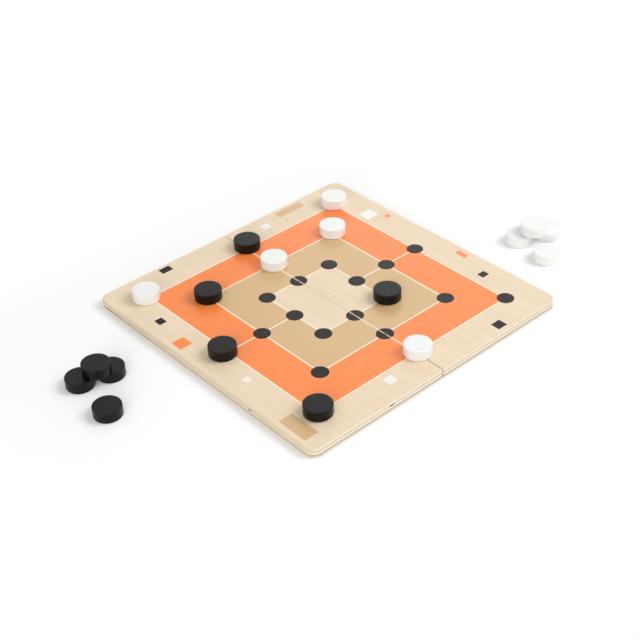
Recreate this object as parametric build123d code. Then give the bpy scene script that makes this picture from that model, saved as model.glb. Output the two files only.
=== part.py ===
from build123d import *
import os
from math import cos, radians, sin

# A folding board for nine men's morris with its nine white and nine black men.
#
# The two plywood halves lie open side by side, joined along the middle by a cloth hinge tape that is let
# into a shallow rebate in their underside. The halves fold back to back, undersides together. Ten men
# stand on printed points of the board and eight lie beside it, four on each side.
#
# Millimetres. The origin is the middle of the board on its underside, the seam runs along Y, +Z is up
# and the front edge of the board faces -Y.

# Board, as it lies open
board_side = 300.0
board_thickness = 9.0
seam_gap = 0.3
outer_corner_radius = 9.0
seam_corner_radius = 1.8
top_arris_radius = 1.0
bottom_arris_radius = 0.5

# Print on top: the bare border round the outermost square, and how far the print sits off centre
print_border = 33.75
rings = 3
print_shift_y = -1.15

# Gaps in the core plies that show in the left half's edges; each place is counted from a corner
ply_count = 5
gap_height = 0.7
gap_depth = 2.5
rear_gap_from_corner = 11.0
rear_gap_length = 25.5
side_gap_from_corner = 76.8
side_gap_length = 3.0
front_gap_from_corner = 86.0
front_gap_length = 5.5

# Cloth hinge tape and the rebate that it is glued into
tape_width = 36.0
tape_thickness = 0.4
tape_end_margin = 6.0
tape_inset = 0.1
tape_clearance = 0.4

# Men
man_diameter = 26.0
man_height = 10.5
man_arris_radius = 0.7

# Men beside the board
reach_beyond_board = 97.75
black_stray_y = 12.8
black_stray_gap = 23.2
black_stray_bearing = 84.5
black_pile_gap = 2.3
black_pile_bearing = -13.7
white_pile_y = -67.2
white_pile_gap = 4.0
white_pile_bearing = 156.4
white_stray_gap = 13.0
white_stray_bearing = -97.5

# Sizes that follow from the ones above
leaf_width = (board_side - seam_gap) / 2
ring_pitch = (board_side / 2 - print_border) / rings
ply = board_thickness / ply_count
rebate_depth = tape_inset + tape_thickness
tape_length = board_side - 2 * tape_end_margin
man_radius = man_diameter / 2
set_reach = board_side / 2 + reach_beyond_board
hair = 0.01

# Middle height of the two darker plies, which lie next to the face plies
upper_dark_ply = board_thickness - 1.5 * ply
lower_dark_ply = 1.5 * ply


def leaf_blank(side):
    """Half board with rounded corners and arrises; side is -1 for the left half and 1 for the right."""
    centre_x = side * (seam_gap + leaf_width) / 2
    outermost, innermost = (0, -1) if side < 0 else (-1, 0)
    with BuildPart() as blank:
        with Locations((centre_x, 0, 0)):
            Box(leaf_width, board_side, board_thickness, align=(Align.CENTER, Align.CENTER, Align.MIN))
        fillet(blank.edges().filter_by(Axis.Z).group_by(Axis.X)[outermost], outer_corner_radius)
        fillet(blank.edges().filter_by(Axis.Z).group_by(Axis.X)[innermost], seam_corner_radius)
        fillet(blank.faces().sort_by(Axis.Z)[-1].edges(), top_arris_radius)
        fillet(blank.faces().sort_by(Axis.Z)[0].edges(), bottom_arris_radius)
    return blank.part


def tape_rebate():
    """Shallow pocket under the seam that takes the whole hinge tape."""
    width = tape_width + 2 * tape_clearance
    length = tape_length + 2 * tape_clearance
    pocket = Box(width, length, rebate_depth + hair, align=(Align.CENTER, Align.CENTER, Align.MIN))
    return Pos(0, 0, -hair) * pocket


def left_edge_gap(middle_y, length, height):
    """Gap in a core ply, open at the board's left edge, of that length along it."""
    return Pos(-board_side / 2, middle_y, height) * Box(2 * gap_depth, length, gap_height)


def front_edge_gap(middle_x, length, height):
    """Gap in a core ply, open at the board's front edge, of that length along it."""
    return Pos(middle_x, -board_side / 2, height) * Box(length, 2 * gap_depth, gap_height)


def left_leaf():
    """Left half: a long gap shows near its rear corner, and two short ones nearer the front."""
    corner = board_side / 2
    rear_gap_y = corner - rear_gap_from_corner - rear_gap_length / 2
    side_gap_y = side_gap_from_corner + side_gap_length / 2 - corner
    front_gap_x = front_gap_from_corner + front_gap_length / 2 - corner
    leaf = leaf_blank(-1) - tape_rebate()
    leaf -= left_edge_gap(rear_gap_y, rear_gap_length, lower_dark_ply)
    leaf -= left_edge_gap(side_gap_y, side_gap_length, upper_dark_ply)
    leaf -= front_edge_gap(front_gap_x, front_gap_length, upper_dark_ply)
    return leaf


def right_leaf():
    """Right half, with no gaps in the plies of its edges."""
    return leaf_blank(1) - tape_rebate()


def hinge_tape_half(side):
    """The half of the cloth tape that is glued to one leaf; the halves meet along the fold."""
    strip = Box(tape_width / 2, tape_length, tape_thickness, align=(Align.CENTER, Align.CENTER, Align.MIN))
    return Pos(side * tape_width / 4, 0, tape_inset) * strip


def man():
    """One man: a turned disc with eased arrises, standing on the origin."""
    disc = Cylinder(man_radius, man_height, align=(Align.CENTER, Align.CENTER, Align.MIN))
    return fillet(disc.edges().filter_by(GeomType.CIRCLE), man_arris_radius)


def on_point(column, row, off_x, off_y):
    """Place on the board, near the printed point at a column and row counted from the centre."""
    x = column * ring_pitch + off_x
    y = row * ring_pitch + off_y + print_shift_y
    return (x, y, board_thickness)


def beside(place, gap, bearing):
    """Place of a man that stands clear of another by a gap, at a bearing in degrees from +X."""
    distance = man_diameter + gap
    x = place[0] + distance * cos(radians(bearing))
    y = place[1] + distance * sin(radians(bearing))
    return (x, y, place[2])


def across(first, second, off_x, off_y):
    """Place of a man that lies on top of two others, a little off the middle between them."""
    middle_x = (first[0] + second[0]) / 2
    middle_y = (first[1] + second[1]) / 2
    return (middle_x + off_x, middle_y + off_y, first[2] + man_height)


def white_places():
    """Five men on the board, then two side by side, one on top of them and a stray one."""
    outer = (set_reach - man_radius, white_pile_y, 0)
    inner = beside(outer, white_pile_gap, white_pile_bearing)
    return [
        on_point(-3, 3, -2.7, 1.5),
        on_point(0, 2, 1.2, -1.9),
        on_point(3, 3, 1.0, 1.1),
        on_point(2, 2, 1.9, 0.5),
        on_point(0, -3, 1.1, -0.9),
        inner,
        outer,
        across(outer, inner, -3.1, -2.5),
        beside(inner, white_stray_gap, white_stray_bearing),
    ]


def black_places():
    """Five men on the board, then two side by side, one on top of them and a stray one."""
    stray = (man_radius - set_reach, black_stray_y, 0)
    left = beside(stray, black_stray_gap, black_stray_bearing)
    right = beside(left, black_pile_gap, black_pile_bearing)
    return [
        on_point(0, 3, 2.4, 1.5),
        on_point(-2, 2, 0.2, 0.1),
        on_point(-3, 0, -4.6, 1.4),
        on_point(-3, -3, 2.1, 0.3),
        on_point(1, -1, 1.4, -0.8),
        left,
        right,
        across(left, right, 0.6, -2.8),
        stray,
    ]


def write(node, solid):
    """Write one sub-part as a STEP file of its own."""
    export_step(solid, f"parts/{node}.step")


os.makedirs("parts", exist_ok=True)
write("left_leaf", left_leaf())
write("right_leaf", right_leaf())
write("hinge_tape_left", hinge_tape_half(-1))
write("hinge_tape_right", hinge_tape_half(1))
for number, place in enumerate(white_places(), start=1):
    write(f"white_man_{number}", Pos(*place) * man())
for number, place in enumerate(black_places(), start=1):
    write(f"black_man_{number}", Pos(*place) * man())
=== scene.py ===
"""Folding nine men's morris board with its eighteen men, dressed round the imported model.

Two leaves of birch plywood carry a screen print on top and are joined underneath by a strip of linen.
Nine white and nine black turned men stand on the board and beside it. Lengths are metres in the frame
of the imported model: the origin lies under the middle of the board, the seam runs along Y and +Z is up.
Only the printed marks and the patterns of the finishes are given in millimetres.
"""

import logging
import math
from abc import ABC, abstractmethod
from collections.abc import Callable, Iterator
from contextlib import contextmanager
from dataclasses import dataclass, field
from enum import Enum
from typing import NamedTuple

import bmesh
import bpy
from mathutils import Matrix, Vector


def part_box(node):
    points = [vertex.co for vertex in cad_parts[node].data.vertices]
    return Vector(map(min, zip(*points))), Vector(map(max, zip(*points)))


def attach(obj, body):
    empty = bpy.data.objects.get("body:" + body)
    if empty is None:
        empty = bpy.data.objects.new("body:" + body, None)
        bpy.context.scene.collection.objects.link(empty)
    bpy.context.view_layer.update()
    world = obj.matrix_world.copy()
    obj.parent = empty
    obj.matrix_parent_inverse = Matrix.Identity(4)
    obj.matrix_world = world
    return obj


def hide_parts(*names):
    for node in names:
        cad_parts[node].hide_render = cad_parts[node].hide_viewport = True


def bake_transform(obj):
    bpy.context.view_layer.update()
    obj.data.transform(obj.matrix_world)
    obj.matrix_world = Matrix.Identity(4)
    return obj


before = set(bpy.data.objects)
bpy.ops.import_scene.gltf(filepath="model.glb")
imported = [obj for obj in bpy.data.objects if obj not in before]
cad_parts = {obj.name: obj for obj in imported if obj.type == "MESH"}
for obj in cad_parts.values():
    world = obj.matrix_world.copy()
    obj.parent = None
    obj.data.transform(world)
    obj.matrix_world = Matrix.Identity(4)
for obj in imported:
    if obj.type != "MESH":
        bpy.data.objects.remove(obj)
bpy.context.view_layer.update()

Piece = bpy.types.Object
Socket = bpy.types.NodeSocket
Test = Callable[[object], bool]

MM = 0.001
log = logging.getLogger("mill_board")

# Places nearer to each other than the first count as one, and corners nearer than the second are merged
SAME_PLACE = 0.01 * MM
MERGED = 0.001 * MM

# What has more than this share of its length along an axis counts as lying along it
ALONG = 0.9

# The middle of what a noise texture gives
NOISE_MEAN = 0.5


def linear(hex_colour: str) -> tuple[float, float, float, float]:
    """Turn an sRGB hex colour into the linear colour that a shader socket holds.

    Args:
        hex_colour: Six hex digits, red first.

    Returns:
        Red, green, blue and an alpha of 1, all linear.
    """
    channels = [int(hex_colour[place:place + 2], 16) / 255 for place in (0, 2, 4)]
    curved = [c / 12.92 if c <= 0.04045 else ((c + 0.055) / 1.055) ** 2.4 for c in channels]
    return (*curved, 1.0)


def towards(bearing: float, elevation: float) -> Vector:
    """Give the direction from the board to a lamp or the camera.

    Args:
        bearing: Degrees about the board, 0 in front of it and growing to the right.
        elevation: Degrees above the table.

    Returns:
        A vector of length 1.
    """
    turn, rise = math.radians(bearing), math.radians(elevation)
    return Vector((math.sin(turn) * math.cos(rise), -math.cos(turn) * math.cos(rise), math.sin(rise)))


def deselect_all() -> None:
    """Leave nothing selected, so that an operator acts only on what is picked next."""
    if bpy.context.object is not None and bpy.context.object.mode != "OBJECT":
        bpy.ops.object.mode_set(mode="OBJECT")
    bpy.ops.object.select_all(action="DESELECT")


def activate(*pieces: Piece) -> None:
    """Select only these pieces, with the first of them active.

    Args:
        pieces: The pieces that the next operator acts on.
    """
    deselect_all()
    for piece in pieces:
        piece.select_set(True)
    bpy.context.view_layer.objects.active = pieces[0]


def added(name: str, size: tuple[float, float, float] = (1, 1, 1)) -> Piece:
    """Name and stretch the primitive that was just added, with its place moved into its mesh.

    Args:
        name: The name that the piece gets.
        size: How far it is stretched along each axis.

    Returns:
        The new piece, at the origin, unturned and unscaled.
    """
    piece = bpy.context.object
    piece.name = piece.data.name = name
    bpy.ops.transform.resize(value=size)
    bpy.ops.object.transform_apply(location=True, rotation=True, scale=True)
    return piece


@contextmanager
def editing(piece: Piece, elements: str = "FACE", wanted: Test | None = None) -> Iterator[None]:
    """Open a piece in edit mode with what passes a test selected, and close it at the end.

    Args:
        piece: The piece to shape.
        elements: What is picked in it: EDGE or FACE.
        wanted: Tells for an edge or a face whether it is picked. Without a test all of them are.
    """
    activate(piece)
    bpy.ops.object.mode_set(mode="EDIT")
    bpy.ops.mesh.select_mode(type=elements)
    bpy.ops.mesh.select_all(action="DESELECT" if wanted else "SELECT")
    if wanted:
        mesh = bmesh.from_edit_mesh(piece.data)
        for element in filter(wanted, mesh.edges if elements == "EDGE" else mesh.faces):
            element.select_set(True)
        bmesh.update_edit_mesh(piece.data)
    yield
    bpy.ops.object.mode_set(mode="OBJECT")


def apply_modifier(piece: Piece, kind: str, **settings: object) -> None:
    """Put a modifier on a piece and apply it at once.

    Args:
        piece: The piece to change.
        kind: The modifier's type.
        settings: The modifier's options by name.
    """
    activate(piece)
    modifier = piece.modifiers.new(name=kind.lower(), type=kind)
    for option, value in settings.items():
        setattr(modifier, option, value)
    bpy.ops.object.modifier_apply(modifier=modifier.name)


def carve(piece: Piece, cutter: Piece) -> None:
    """Cut one piece out of another and throw the cutter away.

    Args:
        piece: The piece that loses material.
        cutter: The closed shape that is taken out.
    """
    apply_modifier(piece, "BOOLEAN", object=cutter, operation="DIFFERENCE", solver="EXACT")
    bpy.data.objects.remove(cutter)


def polish(piece: Piece, angle: float = 30.0) -> None:
    """Turn a piece's faces outwards and shade its rounded edges smoothly, with its flats left flat.

    Args:
        piece: The finished shape.
        angle: Edges sharper than this many degrees stay sharp.
    """
    with editing(piece):
        bpy.ops.mesh.remove_doubles(threshold=MERGED)
        bpy.ops.mesh.normals_make_consistent(inside=False)
    activate(piece)
    bpy.ops.object.shade_smooth_by_angle(angle=math.radians(angle))
    apply_modifier(piece, "WEIGHTED_NORMAL", keep_sharp=True, weight=100)


def copied(piece: Piece, name: str) -> Piece:
    """Copy a piece together with its mesh.

    Args:
        piece: The piece to copy.
        name: The name that the copy gets.

    Returns:
        The copy, with a mesh of its own.
    """
    twin = piece.copy()
    twin.data = piece.data.copy()
    twin.name = twin.data.name = name
    bpy.context.scene.collection.objects.link(twin)
    return twin


class Ramp(NamedTuple):
    """A level that runs evenly from a first to a last value while a reading goes from start to end."""

    first: float
    last: float
    start: float = 0.0
    end: float = 1.0

    def inputs(self, reading: Socket) -> dict[str, object]:
        """Give what a Map Range node needs to follow the ramp.

        Args:
            reading: The socket that the level depends on.

        Returns:
            Value or linked output socket for each input, by its name.
        """
        return {
            "Value": reading,
            "From Min": self.start,
            "From Max": self.end,
            "To Min": self.first,
            "To Max": self.last,
        }


class ShaderGraph:
    """The node tree of one material or world, filled node by node."""

    def __init__(self, owner: bpy.types.Material | bpy.types.World) -> None:
        """Empty the owner's tree, ready for its nodes.

        Args:
            owner: The material or world whose nodes are laid out.
        """
        owner.use_nodes = True
        self.tree = owner.node_tree
        self.tree.nodes.clear()

    def add(
        self, kind: str, inputs: dict | None = None, output: int | str = 0, **settings: object
    ) -> Socket:
        """Add a node with its options, values and links.

        Args:
            kind: The node's type.
            inputs: Value or linked output socket for each input, by its name or number.
            output: Name or number of the output that the caller goes on with.
            settings: The node's options by name.

        Returns:
            The chosen output socket, or None for a node without outputs.
        """
        node = self.tree.nodes.new(kind)
        for option, value in settings.items():
            setattr(node, option, value)
        for socket, value in (inputs or {}).items():
            if isinstance(value, Socket):
                self.tree.links.new(value, node.inputs[socket])
            else:
                node.inputs[socket].default_value = value
        return node.outputs[output] if len(node.outputs) else None

    def in_millimetres(self) -> Socket:
        """Give the place on the piece, in millimetres."""
        place = self.add("ShaderNodeTexCoord", output="Object")
        return self.add("ShaderNodeVectorMath", {0: place, "Scale": 1 / MM}, operation="SCALE")

    def seen_by_eye(self) -> Socket:
        """Tell rays that draw the picture from rays that carry diffuse light.

        Returns:
            A socket that is 1 for camera, glossy and transmission rays, and 0 for the others.
        """
        seen = self.add("ShaderNodeLightPath", output="Is Camera Ray")
        for kind in ("Is Glossy Ray", "Is Transmission Ray"):
            also = self.add("ShaderNodeLightPath", output=kind)
            seen = self.add("ShaderNodeMath", {0: seen, 1: also}, operation="MAXIMUM")
        return seen


@dataclass(frozen=True)
class Finish(ABC):
    """A surface finish that can be laid on pieces."""

    name: str

    @abstractmethod
    def lay_out(self, graph: ShaderGraph) -> Socket:
        """Lay out the finish's nodes.

        Args:
            graph: The empty graph to fill.

        Returns:
            The output socket of its shader.
        """

    def material(self) -> bpy.types.Material:
        """Give the finish's material, made at the first call."""
        made = bpy.data.materials.get(self.name)
        if made is None:
            made = bpy.data.materials.new(self.name)
            graph = ShaderGraph(made)
            graph.add("ShaderNodeOutputMaterial", {"Surface": self.lay_out(graph)})
        return made

    def dress(self, piece: Piece) -> None:
        """Make this the piece's one material."""
        piece.data.materials.clear()
        piece.data.materials.append(self.material())


@dataclass(frozen=True)
class FilmOnWood(Finish):
    """A finish that ends in a thin film on wood: varnish, dried ink or paint.

    Its relief is how deep the unevenness below tells through the film.
    """

    gloss: float
    relief: float
    relief_strength: float
    refraction: float = 1.5

    def film(self, graph: ShaderGraph, colour: Socket, roughness: Socket, height: Socket) -> Socket:
        """Lay out the film.

        Args:
            graph: The graph to fill.
            colour: The colour that is seen.
            roughness: How dull the film is.
            height: The unevenness below it.

        Returns:
            The output socket of its shader.
        """
        bump = {"Strength": self.relief_strength, "Distance": self.relief * MM, "Height": height}
        return graph.add(
            "ShaderNodeBsdfPrincipled",
            {
                "Base Color": colour,
                "Roughness": roughness,
                "Normal": graph.add("ShaderNodeBump", bump),
                "IOR": self.refraction,
                "Specular IOR Level": self.gloss,
            },
        )


@dataclass(frozen=True)
class BirchPlywood(FilmOnWood):
    """Five-ply birch plywood with sanded edges and a thin matt varnish on its faces.

    The faces are rotary-cut veneer: pale cream, with short fine fibres along the board and a slow figure
    of growth rings. The edges show raw plies, the second and fourth of them darker, with thin glue lines.
    Real fibres are under 0.1 mm wide and are drawn five times as wide, so that they show. A tone is a
    share of the way from the light colour of a ply to its dark one, and a shade is the share of its
    brightness that the edge keeps under painted shade.
    """

    name: str = "birch_plywood_sanded_varnished"
    thickness: float = 9.0
    plies: int = 5
    sanded: float = 0.35
    sway: float = 0.5
    sway_length: float = 25.0
    face_light: str = "f3dfc5"
    face_dark: str = "e2ccac"
    fibre_width: float = 0.5
    fibre_length: float = 26.0
    fibre_tone: float = 0.5
    figure_width: float = 17.0
    figure_length: float = 190.0
    figure_depth: float = 5.0
    figure_roughness: float = 0.4
    figure_rings: float = 11.0
    ring_tone: float = 0.3
    least_tone: float = 0.12
    ply_light: str = "f7ecda"
    ply_dark: str = "c4b196"
    cross_tone: float = 0.75
    long_side_cross_tone: float = 0.4
    # Painted shade: the lower cross ply is darker, towards the table
    lower_cross_shade: float = 0.25
    glue: str = "c9b599"
    glue_line: Ramp = Ramp(0.0, 1.0, start=0.1, end=0.03)
    # Painted shade on the edge: towards the top arris, towards the table, on the long sides and in the core
    # gaps
    upper_arris_shade: Ramp = Ramp(1.0, 0.86, start=6.8, end=8.4)
    lower_contact_shade: Ramp = Ramp(0.55, 1.0, start=0.0, end=1.6)
    long_side_shade: Ramp = Ramp(1.0, 0.9)
    open_core_shade: Ramp = Ramp(1.0, 0.03, start=0.01, end=0.03)
    long_side_saturation: Ramp = Ramp(1.0, 1.35)
    open_core: str = "open_core"
    varnish_start: float = 0.7
    varnish_full: float = 0.05
    roughness: Ramp = Ramp(0.7, 0.46)
    fibre_roughness: float = 0.15
    gloss: float = 0.35
    relief: float = 0.04
    relief_strength: float = 0.3

    def layers(self, graph: ShaderGraph, place: Socket, z: Socket) -> tuple[Socket, Socket]:
        """Lay out the plies, a little uneven in thickness, as pressed veneers are.

        Args:
            graph: The graph to fill.
            place: Place on the board.
            z: Height above the underside.

        Returns:
            The height in the stack of plies, and a socket that is 1 in the two cross plies.
        """
        sway = graph.add(
            "ShaderNodeTexNoise", {"Vector": place, "Scale": 1 / self.sway_length, "Detail": 1.0}, "Fac"
        )
        sway = graph.add("ShaderNodeMath", {0: sway, 1: NOISE_MEAN}, operation="SUBTRACT")
        sanded = graph.add("ShaderNodeMath", {0: z, 1: self.sanded}, operation="ADD")
        height = graph.add("ShaderNodeMath", {0: sway, 1: self.sway, 2: sanded}, operation="MULTIPLY_ADD")
        pair = 2 * self.thickness / self.plies
        share = graph.add("ShaderNodeMath", {0: height, 1: 1 / pair}, operation="MULTIPLY")
        share = graph.add("ShaderNodeMath", {0: share}, operation="FRACT")
        return height, graph.add("ShaderNodeMath", {0: share, 1: 0.5}, operation="GREATER_THAN")

    def fibres(self, graph: ShaderGraph, place: Socket, is_cross: Socket) -> Socket:
        """Lay out the fibres, along Y in the outer and middle plies and along X in the two cross plies.

        Args:
            graph: The graph to fill.
            place: Place on the board.
            is_cross: 1 in the cross plies.

        Returns:
            The strength of the fibres, about the mean of a noise.
        """
        width, length = 1 / self.fibre_width, 1 / self.fibre_length
        along_y, along_x = (
            graph.add("ShaderNodeVectorMath", {0: place, 1: steps}, operation="MULTIPLY")
            for steps in ((width, length, width), (length, width, width))
        )
        grain = graph.add("ShaderNodeMix", {0: is_cross, 4: along_y, 5: along_x}, 1, data_type="VECTOR")
        return graph.add("ShaderNodeTexNoise", {"Vector": grain, "Scale": 1.0, "Detail": 3.0}, "Fac")

    def veneer(self, graph: ShaderGraph, place: Socket, fibre: Socket) -> Socket:
        """Lay out the face, with the growth rings that the veneer knife met at a low angle.

        Args:
            graph: The graph to fill.
            place: Place on the board.
            fibre: The strength of the fibres.

        Returns:
            The colour of the face. Its rings are the contour lines of a slow noise.
        """
        steps = (1 / self.figure_width, 1 / self.figure_length, 1 / self.figure_depth)
        slow = graph.add("ShaderNodeVectorMath", {0: place, 1: steps}, operation="MULTIPLY")
        slow = {"Vector": slow, "Scale": 1.0, "Detail": 2.0, "Roughness": self.figure_roughness}
        figure = graph.add("ShaderNodeTexNoise", slow, "Fac")
        rings = graph.add("ShaderNodeMath", {0: figure, 1: self.figure_rings}, operation="MULTIPLY")
        rings = graph.add("ShaderNodeMath", {0: rings, 1: 1.0}, operation="PINGPONG")
        tone = graph.add(
            "ShaderNodeMath", {0: rings, 1: self.ring_tone, 2: self.least_tone}, operation="MULTIPLY_ADD"
        )
        tone = graph.add("ShaderNodeMath", {0: fibre, 1: self.fibre_tone, 2: tone}, operation="MULTIPLY_ADD")
        tones = {0: tone, 6: linear(self.face_light), 7: linear(self.face_dark)}
        return graph.add("ShaderNodeMix", tones, 2, data_type="RGBA")

    def raw_edge(
        self, graph: ShaderGraph, plies: tuple[Socket, Socket], speckle: Socket, long_side: Socket, z: Socket
    ) -> Socket:
        """Lay out the raw edge: darker cross plies, less so on the long sides, and the glue between plies.

        The lower cross ply is darker still, as painted shade towards the table.

        Args:
            graph: The graph to fill.
            plies: The height in the stack of plies, and 1 in the cross plies.
            speckle: The strength of the fibres, about 0.
            long_side: 1 on the left and right edges of the board.
            z: Height above the underside.

        Returns:
            The colour of the edge before its shade is painted.
        """
        height, is_cross = plies
        gain = self.long_side_cross_tone - self.cross_tone
        tone = graph.add(
            "ShaderNodeMath", {0: long_side, 1: gain, 2: self.cross_tone}, operation="MULTIPLY_ADD"
        )
        # Painted shade: the cross ply in the lower half is darker still
        lower = graph.add("ShaderNodeMath", {0: z, 1: self.thickness / 2}, operation="LESS_THAN")
        tone = graph.add(
            "ShaderNodeMath", {0: lower, 1: self.lower_cross_shade, 2: tone}, operation="MULTIPLY_ADD"
        )
        tone = graph.add("ShaderNodeMath", {0: is_cross, 1: tone}, operation="MULTIPLY")
        tone = graph.add(
            "ShaderNodeMath", {0: speckle, 1: self.fibre_tone, 2: tone}, operation="MULTIPLY_ADD"
        )
        tones = {0: tone, 6: linear(self.ply_light), 7: linear(self.ply_dark)}
        wood = graph.add("ShaderNodeMix", tones, 2, data_type="RGBA", clamp_factor=True)
        half_ply = self.thickness / self.plies / 2
        to_glue = graph.add("ShaderNodeMath", {0: height, 1: half_ply}, operation="PINGPONG")
        glued = graph.add("ShaderNodeMapRange", self.glue_line.inputs(to_glue))
        return graph.add("ShaderNodeMix", {0: glued, 6: wood, 7: linear(self.glue)}, 2, data_type="RGBA")

    def painted_edge_shade(self, graph: ShaderGraph, edge: Socket, long_side: Socket, z: Socket) -> Socket:
        """Paint shade on the edge, and paint the gaps in the core dark.

        The edge is darkened as painted shade towards its top arris, which tones down the highlight there,
        and more towards the table, where it stands in for the contact shadow. The long sides get painted
        shade as well, and a deeper colour. Behind their mouths the gaps between the core strips are painted
        nearly black, as the shade deep inside them.

        Args:
            graph: The graph to fill.
            edge: The colour of the edge before its shade is painted.
            long_side: 1 on the left and right edges of the board.
            z: Height above the underside.

        Returns:
            The colour of the edge with its painted shade.
        """
        # Painted shade, multiplied into the edge's brightness
        in_gap = graph.add("ShaderNodeAttribute", output="Fac", attribute_name=self.open_core)
        kept = graph.add("ShaderNodeMapRange", self.upper_arris_shade.inputs(z))
        for ramp, reading in (
            (self.lower_contact_shade, z),
            (self.long_side_shade, long_side),
            (self.open_core_shade, in_gap),
        ):
            share = graph.add("ShaderNodeMapRange", ramp.inputs(reading))
            kept = graph.add("ShaderNodeMath", {0: kept, 1: share}, operation="MULTIPLY")
        deeper = graph.add("ShaderNodeMapRange", self.long_side_saturation.inputs(long_side))
        return graph.add("ShaderNodeHueSaturation", {"Saturation": deeper, "Value": kept, "Color": edge})

    def lay_out(self, graph: ShaderGraph) -> Socket:
        """Lay out the plies, their grain, the edges and the varnished faces.

        Args:
            graph: The empty graph to fill.

        Returns:
            The output socket of its shader.
        """
        place = graph.in_millimetres()
        x, y, z = (graph.add("ShaderNodeSeparateXYZ", {0: place}, axis) for axis in "XYZ")
        across, lengthwise = (graph.add("ShaderNodeMath", {0: way}, operation="ABSOLUTE") for way in (x, y))
        long_side = graph.add("ShaderNodeMath", {0: across, 1: lengthwise}, operation="GREATER_THAN")
        plies = self.layers(graph, place, z)
        fibre = self.fibres(graph, place, plies[1])
        speckle = graph.add("ShaderNodeMath", {0: fibre, 1: NOISE_MEAN}, operation="SUBTRACT")
        face = self.veneer(graph, place, fibre)
        edge = self.raw_edge(graph, plies, speckle, long_side, z)
        edge = self.painted_edge_shade(graph, edge, long_side, z)

        # Varnish covers the faces and fades out where the arrises were sanded
        middle = self.thickness / 2
        varnish = Ramp(0.0, 1.0, start=middle - self.varnish_start, end=middle - self.varnish_full)
        from_middle = graph.add("ShaderNodeMath", {0: z, 1: middle}, operation="SUBTRACT")
        from_middle = graph.add("ShaderNodeMath", {0: from_middle}, operation="ABSOLUTE")
        varnished = graph.add("ShaderNodeMapRange", varnish.inputs(from_middle))
        colour = graph.add("ShaderNodeMix", {0: varnished, 6: edge, 7: face}, 2, data_type="RGBA")
        dull = graph.add("ShaderNodeMapRange", self.roughness.inputs(varnished))
        roughness = graph.add(
            "ShaderNodeMath", {0: speckle, 1: self.fibre_roughness, 2: dull}, operation="MULTIPLY_ADD"
        )
        return self.film(graph, colour, roughness, fibre)


class Ink(Enum):
    """The five inks of the screen print, in the order in which they are printed."""

    ORANGE = "orange"
    TAN = "tan"
    CREAM = "cream"
    WHITE = "white"
    BLACK = "black"


# Colour of each dried ink, its gloss, and the height of its film in millimetres. A later ink lies over
# an earlier one, so its film stands higher. The cream of the thin lines is close to the bare wood
INK_COLOUR = {
    Ink.ORANGE: "fb8942",
    Ink.TAN: "d4af7d",
    Ink.CREAM: "faebd3",
    Ink.WHITE: "f1efea",
    Ink.BLACK: "191210",
}
INK_GLOSS = {Ink.ORANGE: 0.4, Ink.TAN: 0.5, Ink.CREAM: 0.4, Ink.WHITE: 0.4, Ink.BLACK: 0.18}
FILM_HEIGHT = {Ink.ORANGE: 0.02, Ink.TAN: 0.02, Ink.CREAM: 0.03, Ink.WHITE: 0.03, Ink.BLACK: 0.04}


@dataclass(frozen=True)
class ScreenInk(FilmOnWood):
    """Solvent screen ink on sanded veneer: flat, opaque and satin, with the fibres just telling through.

    The fibres are drawn as much too wide as those of the bare veneer.
    """

    name: str = "screen_ink"
    colour: str = "ffffff"
    brightness: Ramp = Ramp(0.985, 1.0)
    mottle: float = 9.0
    fibre_width: float = 0.6
    fibre_length: float = 26.0
    roughness: Ramp = Ramp(0.26, 0.34)
    gloss: float = 0.5
    relief: float = 0.01
    relief_strength: float = 0.15

    def lay_out(self, graph: ShaderGraph) -> Socket:
        """Lay out the ink's colour, its mottle and the grain beneath it.

        Args:
            graph: The empty graph to fill.

        Returns:
            The output socket of its shader.
        """
        place = graph.in_millimetres()
        steps = (1 / self.fibre_width, 1 / self.fibre_length, 1.0)
        grain = graph.add("ShaderNodeVectorMath", {0: place, 1: steps}, operation="MULTIPLY")
        fibre = graph.add("ShaderNodeTexNoise", {"Vector": grain, "Scale": 1.0, "Detail": 3.0}, "Fac")
        mottle = graph.add(
            "ShaderNodeTexNoise", {"Vector": place, "Scale": 1 / self.mottle, "Detail": 2.0}, "Fac"
        )
        uneven = graph.add("ShaderNodeMath", {0: fibre, 1: mottle}, operation="ADD")
        value = graph.add("ShaderNodeMapRange", self.brightness.inputs(uneven))
        colour = graph.add("ShaderNodeHueSaturation", {"Value": value, "Color": linear(self.colour)})
        roughness = graph.add("ShaderNodeMapRange", self.roughness.inputs(mottle))
        return self.film(graph, colour, roughness, fibre)


class Paint(Enum):
    """The two paints of the men."""

    WHITE = "white"
    BLACK = "black"


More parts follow.
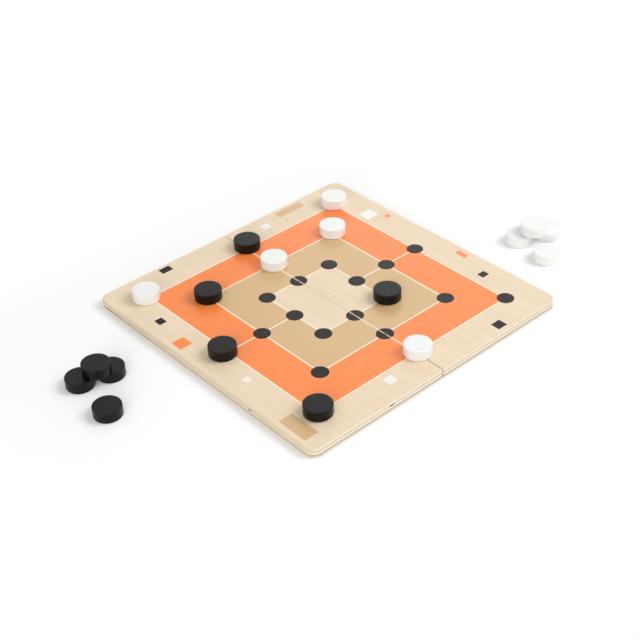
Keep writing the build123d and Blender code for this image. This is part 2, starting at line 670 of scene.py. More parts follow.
@dataclass(frozen=True)
class PaintedTurnedWood(FilmOnWood):
    """Sprayed satin paint on a disc parted off a beech rod and eased in the lathe.

    The paint is even, but fine turning rings tell through it on the flats, with the end grain under them.
    Real rings and pores are about a third as wide as these, which are drawn so that they show.
    """

    name: str = "painted_turned_beech"
    colour: str = "ffffff"
    brightness: Ramp = Ramp(0.97, 1.0)
    clouds_per_mm: float = 0.12
    pore: float = 0.35
    ring_pitch: float = 0.7
    ring_height: float = 0.25
    roughness: Ramp = Ramp(0.26, 0.38)
    gloss: float = 0.5
    relief: float = 0.012
    relief_strength: float = 0.25
    coordinates: str = "turning"

    def lay_out(self, graph: ShaderGraph) -> Socket:
        """Lay out the paint and what tells through it.

        Args:
            graph: The empty graph to fill.

        Returns:
            The output socket of its shader.
        """
        place = graph.add("ShaderNodeAttribute", output="Vector", attribute_name=self.coordinates)
        flat = graph.add("ShaderNodeVectorMath", {0: place, 1: (1.0, 1.0, 0.0)}, operation="MULTIPLY")
        radius = graph.add("ShaderNodeVectorMath", {0: flat}, "Value", operation="LENGTH")
        turn = graph.add(
            "ShaderNodeMath", {0: radius, 1: 2 * math.pi / self.ring_pitch}, operation="MULTIPLY"
        )
        ring = graph.add("ShaderNodeMath", {0: turn}, operation="SINE")
        pores, cloud = (
            graph.add("ShaderNodeTexNoise", {"Vector": place, "Scale": scale, "Detail": 2.0}, "Fac")
            for scale in (1 / self.pore, self.clouds_per_mm)
        )
        height = graph.add(
            "ShaderNodeMath", {0: ring, 1: self.ring_height, 2: pores}, operation="MULTIPLY_ADD"
        )
        value = graph.add("ShaderNodeMapRange", self.brightness.inputs(cloud))
        colour = graph.add("ShaderNodeHueSaturation", {"Value": value, "Color": linear(self.colour)})
        roughness = graph.add("ShaderNodeMapRange", self.roughness.inputs(cloud))
        return self.film(graph, colour, roughness, height)


@dataclass(frozen=True)
class LinenTape(Finish):
    """Plain-woven linen bookbinding tape, dyed grey-brown: matt, with round slubby threads.

    Its thread is the distance from one thread to the next, as in a coarse binding tape. Its shade is the
    painted shade in the valleys between the threads.
    """

    name: str = "linen_tape_plain_woven"
    colour: str = "7a7066"
    shade: str = "3f3832"
    thread: float = 0.6
    width: float = 36.0
    length: float = 288.0
    slubs_per_thread: float = 0.35
    roughness: float = 0.9
    fuzz: float = 0.2
    relief: float = 0.12
    relief_strength: float = 0.8

    def lay_out(self, graph: ShaderGraph) -> Socket:
        """Lay out the warp and weft and the colour of their threads.

        Args:
            graph: The empty graph to fill.

        Returns:
            The output socket of its shader.
        """
        cloth = graph.add("ShaderNodeUVMap", uv_map="UVMap")
        counts = (self.width / self.thread, self.length / self.thread, 1.0)
        threads = graph.add("ShaderNodeMapping", {"Vector": cloth, "Scale": counts})
        over = graph.add("ShaderNodeTexChecker", {"Vector": threads, "Scale": 1.0}, "Fac")
        woven = {0: over}
        for socket, axis in ((2, "X"), (3, "Y")):
            count = graph.add("ShaderNodeSeparateXYZ", {0: threads}, axis)
            turn = graph.add("ShaderNodeMath", {0: count, 1: math.pi}, operation="MULTIPLY")
            wave = graph.add("ShaderNodeMath", {0: turn}, operation="SINE")
            woven[socket] = graph.add("ShaderNodeMath", {0: wave}, operation="ABSOLUTE")
        height = graph.add("ShaderNodeMix", woven, 0, data_type="FLOAT")
        slub = graph.add(
            "ShaderNodeTexNoise", {"Vector": threads, "Scale": self.slubs_per_thread, "Detail": 2.0}, "Fac"
        )
        # Painted shade: the valleys between the threads are darker, and the slubs vary the tone
        tone = graph.add("ShaderNodeMath", {0: height, 1: slub}, operation="MULTIPLY")
        tones = {0: tone, 6: linear(self.shade), 7: linear(self.colour)}
        bump = {"Strength": self.relief_strength, "Distance": self.relief * MM, "Height": height}
        return graph.add(
            "ShaderNodeBsdfPrincipled",
            {
                "Base Color": graph.add("ShaderNodeMix", tones, 2, data_type="RGBA"),
                "Roughness": self.roughness,
                "Sheen Weight": self.fuzz,
                "Normal": graph.add("ShaderNodeBump", bump),
            },
        )


@dataclass(frozen=True)
class TableTop(Finish):
    """Pale matt tabletop that reads as white paper to the eye and keeps the soft shadows.

    To camera, glossy and transmitted rays it fades into the white of the surround past the reach of the
    set, and it is clear from underneath, so that the undersides of the pieces can be seen. In front of the
    board, where it is brightest, ambient occlusion paints a contact shade into it, in the crease under
    whatever stands there.
    """

    name: str = "table_top_matt_white"
    colour: str = "f7f7f6"
    seen_colour: str = "ffffff"
    crease_reach: float = 4 * MM
    crease_samples: int = 8
    darkest_crease: Ramp = Ramp(0.45, 1.0, start=-150 * MM, end=-140 * MM)
    set_reach: tuple[float, float, float] = (248 * MM, 150 * MM, 0.0)
    fade: Ramp = Ramp(0.08, 1.0, start=20 * MM, end=95 * MM)

    def lay_out(self, graph: ShaderGraph) -> Socket:
        """Lay out the tabletop and its fade.

        Args:
            graph: The empty graph to fill.

        Returns:
            The output socket of its shader.
        """
        seen = graph.seen_by_eye()
        tones = {0: seen, 6: linear(self.colour), 7: linear(self.seen_colour)}
        bright = graph.add("ShaderNodeMix", tones, 2, data_type="RGBA")

        # Painted contact shade in the crease, from ambient occlusion, only in front of the board
        reach = {"Distance": self.crease_reach}
        open_share = graph.add("ShaderNodeAmbientOcclusion", reach, "AO", samples=self.crease_samples)
        place = graph.add("ShaderNodeTexCoord", output="Object")
        y = graph.add("ShaderNodeSeparateXYZ", {0: place}, "Y")
        darkest = graph.add("ShaderNodeMapRange", self.darkest_crease.inputs(y))
        crease = graph.add("ShaderNodeMapRange", {"Value": open_share, "To Min": darkest, "To Max": 1.0})
        bright = graph.add("ShaderNodeVectorMath", {0: bright, "Scale": crease}, operation="SCALE")
        matt = graph.add("ShaderNodeBsdfDiffuse", {"Color": bright})

        # The fade, by the distance past the reach of the set
        away = graph.add("ShaderNodeVectorMath", {0: place}, operation="ABSOLUTE")
        away = graph.add("ShaderNodeVectorMath", {0: away, 1: self.set_reach}, operation="SUBTRACT")
        away = graph.add("ShaderNodeVectorMath", {0: away, 1: (0, 0, 0)}, operation="MAXIMUM")
        away = graph.add("ShaderNodeVectorMath", {0: away}, "Value", operation="LENGTH")
        fade = graph.add("ShaderNodeMapRange", self.fade.inputs(away), interpolation_type="SMOOTHSTEP")
        faded = graph.add("ShaderNodeMath", {0: seen, 1: fade}, operation="MULTIPLY")
        surround = graph.add("ShaderNodeEmission", {"Strength": 1.0})
        top = graph.add("ShaderNodeMixShader", {0: faded, 1: matt, 2: surround})
        behind = graph.add("ShaderNodeNewGeometry", output="Backfacing")
        clear = graph.add("ShaderNodeBsdfTransparent")
        return graph.add("ShaderNodeMixShader", {0: behind, 1: top, 2: clear})


class Side(Enum):
    """Which half of the board, as the sign of its X."""

    LEFT = -1
    RIGHT = 1

    @property
    def word(self) -> str:
        """The side's name in lower case."""
        return self.name.lower()


class Edge(Enum):
    """An outer edge of the left leaf that a gap in its core opens to."""

    LEFT = "left"
    FRONT = "front"

    @property
    def along(self) -> int:
        """The axis that the edge runs along: 0 for X and 1 for Y."""
        return 1 if self is Edge.LEFT else 0


@dataclass(frozen=True)
class CoreGap:
    """A gap between two strips of a core veneer, as it shows in an edge of the left leaf.

    Its middle is a Y in the left edge and an X in the front edge. Its narrowing is the share of its
    opening that is left at the end nearer to the board's front left corner. The seed sets its ragged rim.
    """

    edge: Edge
    middle: float
    length: float
    height: float
    opening: float
    narrowing: float
    seed: int


@dataclass
class Leaf:
    """One plywood half of the board.

    Its edge at the seam reaches nearer to the other leaf than the solid's does, so that the seam is all
    but closed in the middle, and stands back towards both ends, where the seam opens.
    """

    side: Side
    plywood: BirchPlywood
    outer_corner: float = 9 * MM
    outer_corner_segments: int = 16
    seam_corner: float = 1.8 * MM
    seam_corner_segments: int = 6
    top_arris: float = 1.0 * MM
    bottom_arris: float = 0.5 * MM
    seam_arris: float = 0.2 * MM
    arris_segments: int = 5
    seam_closing: float = 0.1 * MM
    seam_opening: float = 0.48 * MM
    front_opening_length: float = 80 * MM
    rear_opening_length: float = 45 * MM
    fold_clearance: float = 0.02 * MM
    rebate: tuple[float, float, float] = (36.8 * MM, 288.8 * MM, 0.5 * MM)
    rebate_corner: float = 1.0 * MM
    rebate_corner_segments: int = 4
    gap_depth: float = 2.5 * MM
    ragged: float = 0.1 * MM
    ragged_step: float = 1.3 * MM
    gaps: tuple[CoreGap, ...] = ()
    low: Vector = field(init=False)
    high: Vector = field(init=False)

    def __post_init__(self) -> None:
        """Take the leaf's corners from its CAD node and fit it to the other leaf.

        The undersides stay a hair apart when the board is folded.
        """
        self.low, self.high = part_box(self.node)
        self.low.z += self.fold_clearance
        if self.side is Side.LEFT:
            self.high.x += self.seam_closing
        else:
            self.low.x -= self.seam_closing

    @property
    def node(self) -> str:
        """The CAD node, and the body, of this leaf."""
        return f"{self.side.word}_leaf"

    @property
    def outer_x(self) -> float:
        """X of the outer long edge."""
        return self.low.x if self.side is Side.LEFT else self.high.x

    @property
    def seam_x(self) -> float:
        """X of the edge at the seam."""
        return self.high.x if self.side is Side.LEFT else self.low.x

    def blank(self) -> Piece:
        """Saw the leaf out, round its corners and ease its arrises.

        Returns:
            The leaf without its rebate and gaps.
        """
        deselect_all()
        size = self.high - self.low
        bpy.ops.mesh.primitive_cube_add(size=1, location=(self.low + self.high) / 2)
        piece = added(f"board_{self.node}", size)
        for place, radius, segments in (
            (self.outer_x, self.outer_corner, self.outer_corner_segments),
            (self.seam_x, self.seam_corner, self.seam_corner_segments),
        ):
            with editing(piece, "EDGE", lambda edge, at=place: self.is_upright(edge, at)):
                bpy.ops.mesh.bevel(offset=radius, segments=segments, affect="EDGES")
        self.open_seam(piece)
        self.weigh_arrises(piece)
        apply_modifier(
            piece,
            "BEVEL",
            width=self.top_arris,
            segments=self.arris_segments,
            limit_method="WEIGHT",
            use_clamp_overlap=False,
        )
        return piece

    def open_seam(self, piece: Piece) -> None:
        """Let the edge at the seam run off towards its ends, where the leaves stand a little apart.

        Args:
            piece: The leaf with its corners rounded.
        """
        reach = self.seam_corner + SAME_PLACE
        starts = (self.low.y + self.front_opening_length, self.high.y - self.rear_opening_length)
        for end, start in zip((self.low.y, self.high.y), starts):
            def on_rounding(corner: bmesh.types.BMVert, end: float = end) -> bool:
                """Tell whether a corner lies on the rounding at this end of the seam."""
                return abs(corner.co.x - self.seam_x) < reach and abs(corner.co.y - end) < reach

            with editing(piece):
                bpy.ops.mesh.bisect(plane_co=(0, start, 0), plane_no=(0, 1, 0))
            with editing(piece, "EDGE", lambda edge, test=on_rounding: all(map(test, edge.verts))):
                bpy.ops.transform.translate(value=(self.side.value * self.seam_opening, 0, 0))

    @staticmethod
    def is_upright(edge: bmesh.types.BMEdge, x: float) -> bool:
        """Tell whether an edge stands upright at this X."""
        first, second = edge.verts
        upright = abs(first.co.z - second.co.z) > MM
        return upright and abs(first.co.x - x) < SAME_PLACE

    def arris(self, edge: bmesh.types.BMEdge) -> float:
        """Tell how far an edge of the blank is eased.

        Round the corners at the seam the top arris runs out from its width at the ends to its width at
        the seam, where the print comes close to it.

        Args:
            edge: An edge of the blank with its corners rounded.

        Returns:
            The width of its arris, 0 for an edge that isn't on a rim.
        """
        first, second = (corner.co for corner in edge.verts)
        middle = (first + second) / 2
        if abs(first.z - second.z) > SAME_PLACE:
            return 0.0
        if abs(middle.z - self.low.z) < SAME_PLACE:
            return self.bottom_arris
        from_seam = abs(middle.x - self.seam_x)
        from_end = min(middle.y - self.low.y, self.high.y - middle.y)
        share = 0.5 + 0.5 * (from_seam - from_end) / self.seam_corner
        share = min(1.0, max(0.0, share)) if from_seam < self.seam_corner else 1.0
        return self.seam_arris + share * (self.top_arris - self.seam_arris)

    def weigh_arrises(self, piece: Piece) -> None:
        """Give each rim edge its share of the widest arris, the top one.

        Args:
            piece: The leaf with its corners rounded.
        """
        weights = piece.data.attributes.new("bevel_weight_edge", "FLOAT", "EDGE")
        mesh = bmesh.new()
        mesh.from_mesh(piece.data)
        shares = [self.arris(edge) / self.top_arris for edge in mesh.edges]
        mesh.free()
        weights.data.foreach_set("value", shares)

    def rebate_cutter(self) -> Piece:
        """Make the shape that routs the bed of the hinge tape.

        Returns:
            A shallow block with rounded upright corners, centred on the seam.
        """
        deselect_all()
        width, length, depth = self.rebate
        bpy.ops.mesh.primitive_cube_add(size=1)
        cutter = added("rebate_cutter", (width, length, 2 * depth))
        with editing(cutter, "EDGE", lambda edge: self.runs_along(edge, 2)):
            bpy.ops.mesh.bevel(
                offset=self.rebate_corner, segments=self.rebate_corner_segments, affect="EDGES"
            )
        return cutter

    def gap_cutter(self, gap: CoreGap) -> Piece:
        """Make the ragged slit that two veneer strips leave between them.

        Args:
            gap: Where the gap opens, and how long it is.

        Returns:
            A flat ragged block that reaches into the leaf and narrows towards its front left corner.
        """
        deselect_all()
        along = gap.edge.along
        centre = [self.low.x, self.low.y, gap.height]
        size = [2 * self.gap_depth, 2 * self.gap_depth, gap.opening]
        centre[along], size[along] = gap.middle, gap.length
        bpy.ops.mesh.primitive_cube_add(size=1, location=centre)
        cutter = added("gap_cutter", size)
        with editing(cutter, "FACE", lambda face: face.normal[along] < -ALONG):
            bpy.ops.transform.resize(value=(1, 1, gap.narrowing))
        with editing(cutter, "EDGE", lambda edge: self.runs_along(edge, along)):
            bpy.ops.mesh.subdivide(number_cuts=round(gap.length / self.ragged_step))
            bpy.ops.mesh.select_all(action="SELECT")
            bpy.ops.transform.vertex_random(offset=self.ragged, seed=gap.seed)
        return cutter

    def mark_gap_shade(self, piece: Piece) -> None:
        """Mark the inside of the gaps, from their mouth inwards, where the finish paints their shade.

        Args:
            piece: The leaf with its gaps cut.
        """
        marks = piece.data.attributes.new(self.plywood.open_core, "FLOAT", "POINT")
        for vertex, mark in zip(piece.data.vertices, marks.data):
            place = vertex.co
            inward = min(abs(place.x - self.outer_x), place.y - self.low.y)
            in_gap = any(
                abs(place.z - gap.height) < gap.opening
                and abs(place[gap.edge.along] - gap.middle) < gap.length / 2 + MM
                for gap in self.gaps
            )
            mark.value = float(in_gap and inward > self.gap_depth / 2)

    @staticmethod
    def runs_along(edge: bmesh.types.BMEdge, axis: int) -> bool:
        """Tell whether an edge runs mostly along one axis."""
        run = edge.verts[0].co - edge.verts[1].co
        return abs(run[axis]) > ALONG * run.length

    def build(self) -> Piece:
        """Build, dress and mount the leaf.

        Returns:
            The finished leaf, riding on its body.
        """
        piece = self.blank()
        carve(piece, self.rebate_cutter())
        for gap in self.gaps:
            carve(piece, self.gap_cutter(gap))
        polish(piece)
        self.mark_gap_shade(piece)
        self.plywood.dress(piece)
        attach(piece, self.node)
        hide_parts(self.node)
        log.info("%s: half of the board, with %d gaps in its core", piece.name, len(self.gaps))
        return piece


@dataclass(frozen=True)
class BorderMark:
    """A small printed rectangle on the bare border: its ink, its middle and its size, in millimetres."""

    ink: Ink
    x: float
    y: float
    width: float
    length: float


@dataclass
class ScreenPrint:
    """The print of a nine men's morris board: three squares, four cross lines and 24 points.

    It is laid flat for the whole board, ink by ink, then cut at the seam, and each half rides on its leaf.
    """

    surface: float
    pitch: float = 38.75 * MM
    shift_y: float = -1.15 * MM
    line: float = 1.4 * MM
    seam_line: float = 1.9 * MM
    point_radius: float = 8.05 * MM
    point_sides: int = 64
    seam_point_radius: float = 8.35 * MM
    seam_margin: float = 0.55 * MM
    line_margin: float = 0.33 * MM
    soaked: float = 0.01 * MM
    marks: tuple[BorderMark, ...] = ()

    def square(self, outer: float, inner: float) -> Piece:
        """Lay a square ring about the middle of the print.

        Args:
            outer: Half the outer side.
            inner: Half the inner side.

        Returns:
            The flat ring.
        """
        deselect_all()
        bpy.ops.mesh.primitive_plane_add(size=2 * outer, location=(0, self.shift_y, self.surface))
        ring = added("ring")
        with editing(ring):
            bpy.ops.mesh.inset(thickness=outer - inner, depth=0)
        with editing(ring, "FACE", self.is_middle):
            bpy.ops.mesh.delete(type="FACE")
        return ring

    def is_middle(self, face: bmesh.types.BMFace) -> bool:
        """Tell whether a face lies in the middle of the print."""
        x, y, _ = face.calc_center_median()
        return abs(x) < MM and abs(y - self.shift_y) < MM

    def patch(self, x: float, y: float, width: float, length: float) -> Piece:
        """Lay a rectangle.

        Args:
            x: Its middle across the board, from the middle of the print.
            y: Its middle along the board, from the middle of the print.
            width: Its size across the board.
            length: Its size along the board.

        Returns:
            The flat rectangle.
        """
        deselect_all()
        place = (x, y + self.shift_y, self.surface)
        bpy.ops.mesh.primitive_plane_add(size=1, location=place)
        return added("patch", (width, length, 1))

    def disc(self, column: int, row: int) -> Piece:
        """Lay the round point at a column and row counted from the middle of the print.

        The points on the seam are broader, as each leaf takes its half with the seam a little open.

        Args:
            column: Steps across the board.
            row: Steps along the board.

        Returns:
            The flat disc.
        """
        deselect_all()
        place = (column * self.pitch, row * self.pitch + self.shift_y, self.surface)
        bpy.ops.mesh.primitive_circle_add(
            vertices=self.point_sides, radius=self.point_radius, fill_type="NGON", location=place
        )
        breadth = 1.0 if column else self.seam_point_radius / self.point_radius
        return added("point", (breadth, 1, 1))

    def crossing(self) -> list[Piece]:
        """Lay the four lines that join the squares; two of them lie on the seam, through the points."""
        middle, length = 2 * self.pitch, 2 * (self.pitch + self.point_radius)
        return [
            *(self.patch(sign * middle, 0, length, self.line) for sign in (-1, 1)),
            *(self.patch(0, sign * middle, self.seam_line, length) for sign in (-1, 1)),
        ]

    def artwork(self, ink: Ink) -> Piece:
        """Lay all that one ink prints, over the whole board.

        Args:
            ink: The ink that is printed.

        Returns:
            One flat piece.
        """
        rings = (1, 2, 3)
        if ink is Ink.ORANGE:
            parts = [self.square(3 * self.pitch, 2 * self.pitch)]
        elif ink is Ink.TAN:
            parts = [self.square(2 * self.pitch, self.pitch)]
        elif ink is Ink.CREAM:
            half = self.line / 2
            parts = [self.square(n * self.pitch + half, n * self.pitch - half) for n in rings]
            parts += self.crossing()
        elif ink is Ink.BLACK:
            around = [(a, b) for a in (-1, 0, 1) for b in (-1, 0, 1) if (a, b) != (0, 0)]
            parts = [self.disc(n * a, n * b) for n in rings for a, b in around]
        else:
            parts = []
        parts += [
            self.patch(mark.x * MM, mark.y * MM, mark.width * MM, mark.length * MM)
            for mark in self.marks
            if mark.ink is ink
        ]
        activate(*parts)
        bpy.ops.object.join()
        return bpy.context.object

    def halve(self, sheet: Piece, ink: Ink, side: Side) -> Piece:
        """Cut one leaf's share from the artwork and give it the height of its ink film.

        Args:
            sheet: The artwork of the whole board.
            ink: The ink that it is printed in.
            side: The leaf that it goes on.

        Returns:
            The finished film, riding on its leaf.
        """
        film = copied(sheet, f"print_{side.word}_{ink.value}")
        margin = self.line_margin if ink is Ink.CREAM else self.seam_margin
        with editing(film):
            bpy.ops.mesh.bisect(
                plane_co=(side.value * margin, 0, 0),
                plane_no=(side.value, 0, 0),
                clear_inner=True,
                threshold=MERGED,
            )
            bpy.ops.mesh.select_all(action="SELECT")
            bpy.ops.transform.translate(value=(0, 0, -self.soaked))
            bpy.ops.mesh.extrude_region_move(
                TRANSFORM_OT_translate={"value": (0, 0, self.soaked + FILM_HEIGHT[ink] * MM)}
            )
            bpy.ops.mesh.select_all(action="SELECT")
            bpy.ops.mesh.normals_make_consistent(inside=False)
        name = f"screen_ink_{ink.value}"
        ScreenInk(name=name, colour=INK_COLOUR[ink], gloss=INK_GLOSS[ink]).dress(film)
        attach(film, f"{side.word}_leaf")
        log.info("%s: screen-printed film", film.name)
        return film

    def build(self) -> list[Piece]:
        """Print all five inks on both leaves.

        Returns:
            The ten films.
        """
        films = []
        for ink in Ink:
            sheet = self.artwork(ink)
            films += [self.halve(sheet, ink, side) for side in Side]
            bpy.data.objects.remove(sheet)
        return films


@dataclass
class HingeTape:
    """The linen strip that joins the leaves, glued into the rebate under the seam.

    It bends within one turn width on either side of the fold. Its meshes are halved within so many turn
    widths, once for each number of them.
    """

    linen: LinenTape
    turn_width: float = 1.2 * MM
    fine_widths: tuple[float, float] = (6.0, 3.0)
    meshes_across: int = 30
    meshes_along: int = 96
    low: Vector = field(init=False)
    high: Vector = field(init=False)

    def __post_init__(self) -> None:
        """Take the strip's corners from its two CAD nodes."""
        self.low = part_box("hinge_tape_left")[0]
        self.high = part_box("hinge_tape_right")[1]

    def build(self) -> Piece:
        """Lay the strip, give it its thickness and finer meshes at the seam.

        Returns:
            The finished strip, lying under the seam between the two leaves.
        """
        deselect_all()
        size = self.high - self.low
        bpy.ops.mesh.primitive_grid_add(
            x_subdivisions=self.meshes_across,
            y_subdivisions=self.meshes_along,
            size=1,
            location=(self.low + self.high) / 2,
        )
        strip = added("hinge_tape", (size.x, size.y, 1))
        for widths in self.fine_widths:
            self.refine(strip, widths * self.turn_width)
        apply_modifier(strip, "SOLIDIFY", thickness=size.z, offset=0)
        polish(strip)
        self.linen.dress(strip)
        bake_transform(strip)
        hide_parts("hinge_tape_left", "hinge_tape_right")
        log.info("%s: linen strip under the seam", strip.name)
        return strip

    @staticmethod
    def refine(strip: Piece, reach: float) -> None:
        """Halve the strip's meshes across the fold, within a distance of it.

        Args:
            strip: The flat strip.
            reach: How far from the fold the meshes are halved.
        """
        def is_near(edge: bmesh.types.BMEdge) -> bool:
            """Tell whether an edge runs across the strip, near the fold."""
            first, second = (corner.co for corner in edge.verts)
            return abs(first.y - second.y) < SAME_PLACE and max(abs(first.x), abs(second.x)) < reach

        with editing(strip, "EDGE", is_near):
            bpy.ops.mesh.subdivide(number_cuts=1)


@dataclass
class MenSet:
    """Nine men of one colour, parted off a rod, eased in the lathe and sprayed.

    Each is turned about its axis by some radians more than the one before, so that no two of them show
    the same grain.
    """

    paint: Paint
    finish: PaintedTurnedWood
    count: int = 9
    sides: int = 96
    turn_between: float = 2.4
    top_arris: float = 0.7 * MM
    foot_arris: float = 1.3 * MM
    arris_segments: int = 5
    crown: float = 0.04 * MM
    crown_ring: float = 1.6 * MM

    def turn(self) -> Piece:
        """Turn the pattern man, standing on the origin.

        Returns:
            The pattern, with its own coordinates stored for the finish.
        """
        deselect_all()
        low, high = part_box(f"{self.paint.value}_man_1")
        size = high - low
        bpy.ops.mesh.primitive_cylinder_add(
            vertices=self.sides,
            radius=size.x / 2,
            depth=size.z - 2 * self.crown,
            location=(0, 0, size.z / 2),
        )
        pattern = added(f"pattern_{self.paint.value}_man")
        self.ease(pattern, self.crown, self.foot_arris)
        self.ease(pattern, size.z - self.crown, self.top_arris)
        polish(pattern)
        store = pattern.data.attributes.new(self.finish.coordinates, "FLOAT_VECTOR", "POINT")
        for vertex, value in zip(pattern.data.vertices, store.data):
            value.vector = vertex.co / MM
        return pattern

    def ease(self, pattern: Piece, end: float, arris: float) -> None:
        """Round the rim at one end, and leave the flat inside it a hair proud.

        Args:
            pattern: The man that is turned.
            end: Height of the end.
            arris: Radius that the rim is rounded to.
        """
        def on_end(corner: bmesh.types.BMVert) -> bool:
            """Tell whether a corner lies in the end's plane."""
            return abs(corner.co.z - end) < SAME_PLACE

        with editing(pattern, "EDGE", lambda edge: all(map(on_end, edge.verts))):
            bpy.ops.mesh.bevel(offset=arris, segments=self.arris_segments, affect="EDGES")
        with editing(pattern, "FACE", lambda face: len(face.verts) > 4 and all(map(on_end, face.verts))):
            bpy.ops.mesh.inset(thickness=self.crown_ring, depth=self.crown)

    def build(self) -> list[Piece]:
        """Copy the pattern to the place of each man.

        Returns:
            The nine finished men, each riding on its own body.
        """
        pattern = self.turn()
        self.finish.dress(pattern)
        men = []
        for number in range(1, self.count + 1):
            node = f"{self.paint.value}_man_{number}"
            man = copied(pattern, f"turned_{node}")
            low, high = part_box(node)
            spin = Matrix.Rotation(number * self.turn_between, 4, "Z")
            stand = Matrix.Translation(((low.x + high.x) / 2, (low.y + high.y) / 2, low.z))
            man.data.transform(stand @ spin)
            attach(man, node)
            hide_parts(node)
            log.info("%s: %s man", man.name, self.paint.value)
            men.append(man)
        bpy.data.objects.remove(pattern)
        return men


@dataclass(frozen=True)
class Softbox:
    """A square soft light, placed by its bearing about the board.

    Its level is the brightness that it alone gives a white surface that faces up at the board, or down
    for a light below the table, as a share of full white.
    """

    name: str
    bearing: float
    elevation: float
    distance: float
    side: float
    level: float

    def place(self) -> None:
        """Hang the light and aim it at the middle of the board."""
        away = towards(self.bearing, self.elevation)
        slant = abs(math.sin(math.radians(self.elevation)))

        # Matt white shows watts * slant / (pi * distance)**2 of such a lamp
        light = bpy.data.lights.new(self.name, "AREA")
        light.shape = "SQUARE"
        light.size = self.side
        light.energy = math.pi**2 * self.distance**2 * self.level / slant
        lamp = bpy.data.objects.new(self.name, light)
        lamp.location = away * self.distance
        lamp.rotation_euler = away.to_track_quat("Z", "Y").to_euler()
        bpy.context.scene.collection.objects.link(lamp)


@dataclass
class Studio:
    """The table, the soft light and the camera of the photograph."""

    table: TableTop
    table_side: float = 8.0
    table_rise: float = 0.15 * MM
    sky: float = 0.5
    softboxes: tuple[Softbox, ...] = (
        Softbox("key_softbox", bearing=49.5, elevation=47, distance=3.0, side=1.7, level=0.39),
        Softbox("fill_softbox", bearing=-60, elevation=21, distance=2.6, side=1.4, level=0.135),
        Softbox("rear_softbox", bearing=130, elevation=31, distance=2.2, side=1.0, level=0.04),
        Softbox("under_softbox", bearing=-40, elevation=-60, distance=2.4, side=1.7, level=0.4),
    )
    aim: Vector = field(default_factory=lambda: Vector((-27.2, -22.7, 9.0)) * MM)
    distance: float = 1.1595
    bearing: float = -40.53
    elevation: float = 36.362
    roll: float = -2.522
    lens: float = 72.27
    sensor: float = 36.0
    nearest: float = 0.05
    farthest: float = 50.0

    def lay_table(self) -> None:
        """Lay the tabletop a hair higher than the undersides, which the light from below then reaches."""
        deselect_all()
        bpy.ops.mesh.primitive_plane_add(size=self.table_side, location=(0, 0, self.table_rise))
        top = added("table_top")
        self.table.dress(top)

    def light(self) -> None:
        """Hang the softboxes in an even white surround."""
        world = bpy.data.worlds.new("white_surround")
        graph = ShaderGraph(world)
        strength = graph.add("ShaderNodeMapRange", Ramp(self.sky, 1.0).inputs(graph.seen_by_eye()))
        white = graph.add("ShaderNodeBackground", {"Color": linear("ffffff"), "Strength": strength})
        graph.add("ShaderNodeOutputWorld", {"Surface": white})
        bpy.context.scene.world = world
        for softbox in self.softboxes:
            softbox.place()

    def set_camera(self) -> None:
        """Stand the camera where the photograph was taken from."""
        turn, tilt = math.radians(self.bearing), math.radians(self.roll)
        back = towards(self.bearing, self.elevation)
        level = Vector((math.cos(turn), math.sin(turn), 0))
        upright = back.cross(level)
        right = math.cos(tilt) * level + math.sin(tilt) * upright
        up = back.cross(right)
        data = bpy.data.cameras.new("photo_camera")
        data.lens = self.lens
        data.sensor_width = self.sensor
        data.clip_start, data.clip_end = self.nearest, self.farthest
        camera = bpy.data.objects.new("photo_camera", data)
        axes = Matrix((right, up, back)).transposed().to_4x4()
        camera.matrix_world = Matrix.Translation(self.aim + back * self.distance) @ axes
        bpy.context.scene.collection.objects.link(camera)
        bpy.context.scene.camera = camera

    def build(self) -> None:
        """Set the camera, the table and the light, and keep colours as they are written."""
        bpy.context.scene.view_settings.view_transform = "Standard"
        self.set_camera()
        self.lay_table()
        self.light()
        log.info("studio: table, %d softboxes and camera", len(self.softboxes))


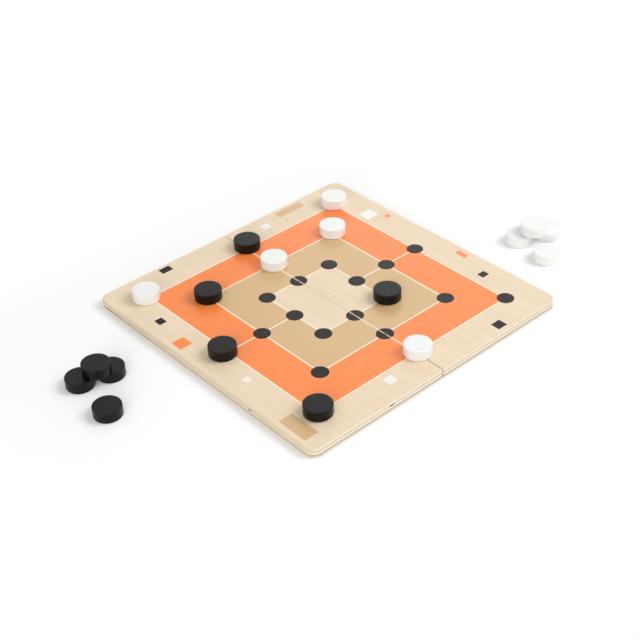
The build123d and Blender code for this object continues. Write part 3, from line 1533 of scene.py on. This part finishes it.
# Two gaps in the left edge, from the rear, and one in the front edge
CORE_GAPS = (
    CoreGap(
        Edge.LEFT, 126.25 * MM, length=25.5 * MM, height=2.7 * MM, opening=0.8 * MM, narrowing=0.5, seed=3
    ),
    CoreGap(
        Edge.LEFT, -71.7 * MM, length=3.4 * MM, height=5.5 * MM, opening=1.3 * MM, narrowing=0.9, seed=5
    ),
    CoreGap(
        Edge.FRONT, -61.1 * MM, length=5.2 * MM, height=5.8 * MM, opening=1.2 * MM, narrowing=0.9, seed=8
    ),
)

# The printed rectangles, clockwise from the rear left corner as seen from above
BORDER_MARKS = (
    BorderMark(Ink.BLACK, -78.0, 143.35, 12.0, 8.1),
    BorderMark(Ink.WHITE, 39.95, 134.55, 9.3, 9.5),
    BorderMark(Ink.TAN, 77.8, 141.75, 32.8, 9.5),
    BorderMark(Ink.WHITE, 128.95, 77.85, 14.5, 13.7),
    BorderMark(Ink.ORANGE, 140.0, 62.3, 5.4, 5.4),
    BorderMark(Ink.ORANGE, 141.35, -38.5, 5.5, 13.0),
    BorderMark(Ink.BLACK, 130.5, -76.0, 8.5, 7.4),
    BorderMark(Ink.BLACK, 81.6, -139.05, 10.7, 9.8),
    BorderMark(Ink.WHITE, -41.85, -126.75, 9.3, 9.3),
    BorderMark(Ink.TAN, -137.55, -117.7, 14.5, 32.6),
    BorderMark(Ink.WHITE, -128.9, -40.95, 6.4, 6.5),
    BorderMark(Ink.ORANGE, -137.55, 39.1, 12.9, 13.4),
    BorderMark(Ink.BLACK, -131.55, 79.05, 7.9, 8.7),
)

PAINT_COLOUR = {Paint.WHITE: "f1f1ef", Paint.BLACK: "0d0a09"}
PAINT_GLOSS = {Paint.WHITE: 0.35, Paint.BLACK: 0.2}


def main() -> None:
    """Build the studio, the board and the men, and keep their sizes."""
    logging.basicConfig(level=logging.INFO, format="%(name)s %(message)s")
    Studio(TableTop()).build()
    plywood = BirchPlywood()
    left = Leaf(Side.LEFT, plywood, gaps=CORE_GAPS)
    right = Leaf(Side.RIGHT, plywood)
    left.build()
    right.build()
    ScreenPrint(surface=left.high.z, marks=BORDER_MARKS).build()
    HingeTape(LinenTape()).build()
    for paint in Paint:
        name = f"painted_turned_beech_{paint.value}"
        finish = PaintedTurnedWood(name=name, colour=PAINT_COLOUR[paint], gloss=PAINT_GLOSS[paint])
        MenSet(paint, finish).build()


if __name__ == "__main__":
    main()
